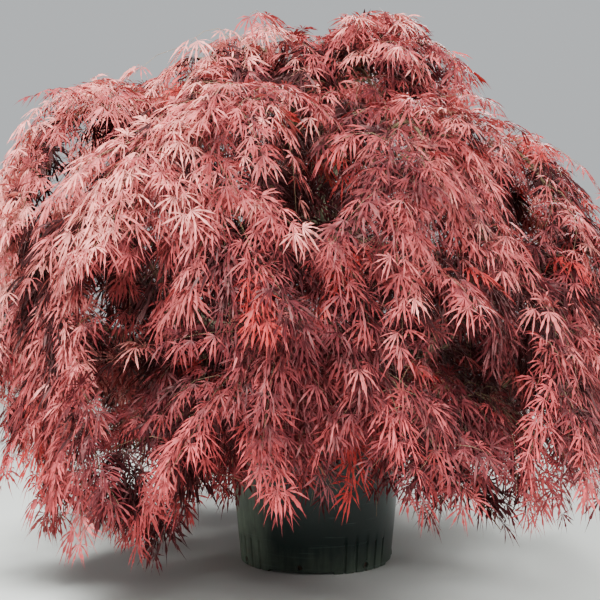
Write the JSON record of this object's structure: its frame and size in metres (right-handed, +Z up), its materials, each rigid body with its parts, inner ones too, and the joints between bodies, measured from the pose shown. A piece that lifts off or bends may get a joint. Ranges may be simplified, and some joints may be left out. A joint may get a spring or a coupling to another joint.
{
  "type": "potted laceleaf maple",
  "caption": "Weeping laceleaf maple shrub: a short trunk, arching boughs and layered drooping masses of dark red cut leaves, in a round black nursery pot filled with bark mix.",
  "frame": {"origin": "centre of the pot's flat underside", "axes": "+Z up along the pot's axis, +X to the right and +Y away from someone at the side pictured"},
  "size_m": [2.3023, 2.3199, 1.8427],
  "materials": {
    "pot": "satin, dusty",
    "potting_mix": "rough bark chips",
    "bark": "grey-green, lightly ridged",
    "leaf": "soft satin, translucent"
  },
  "bodies": {
    "root": {"pot": "pot", "potting_mix": "potting_mix", "trunk": "bark", "bough_crest_1": "bark", "bough_top_1": "bark", "bough_top_2": "bark", "bough_top_3": "bark", "bough_top_4": "bark", "bough_top_5": "bark", "bough_upper_1": "bark", "bough_upper_2": "bark", "bough_upper_3": "bark", "bough_upper_4": "bark", "bough_upper_5": "bark", "bough_upper_6": "bark", "bough_upper_7": "bark", "bough_middle_1": "bark", "bough_middle_2": "bark", "bough_middle_3": "bark", "bough_middle_4": "bark", "bough_middle_5": "bark", "bough_middle_6": "bark", "bough_middle_7": "bark", "bough_skirt_1": "bark", "bough_skirt_2": "bark", "bough_skirt_3": "bark", "bough_skirt_4": "bark", "bough_skirt_5": "bark", "bough_skirt_6": "bark", "bough_skirt_7": "bark", "foliage_crest_1": "leaf", "foliage_top_1": "leaf", "foliage_top_2": "leaf", "foliage_top_3": "leaf", "foliage_top_4": "leaf", "foliage_top_5": "leaf", "foliage_upper_1": "leaf", "foliage_upper_2": "leaf", "foliage_upper_3": "leaf", "foliage_upper_4": "leaf", "foliage_upper_5": "leaf", "foliage_upper_6": "leaf", "foliage_upper_7": "leaf", "foliage_middle_1": "leaf", "foliage_middle_2": "leaf", "foliage_middle_3": "leaf", "foliage_middle_4": "leaf", "foliage_middle_5": "leaf", "foliage_middle_6": "leaf", "foliage_middle_7": "leaf", "foliage_skirt_1": "leaf", "foliage_skirt_2": "leaf", "foliage_skirt_3": "leaf", "foliage_skirt_4": "leaf", "foliage_skirt_5": "leaf", "foliage_skirt_6": "leaf", "foliage_skirt_7": "leaf"}
  },
  "joints": []
}
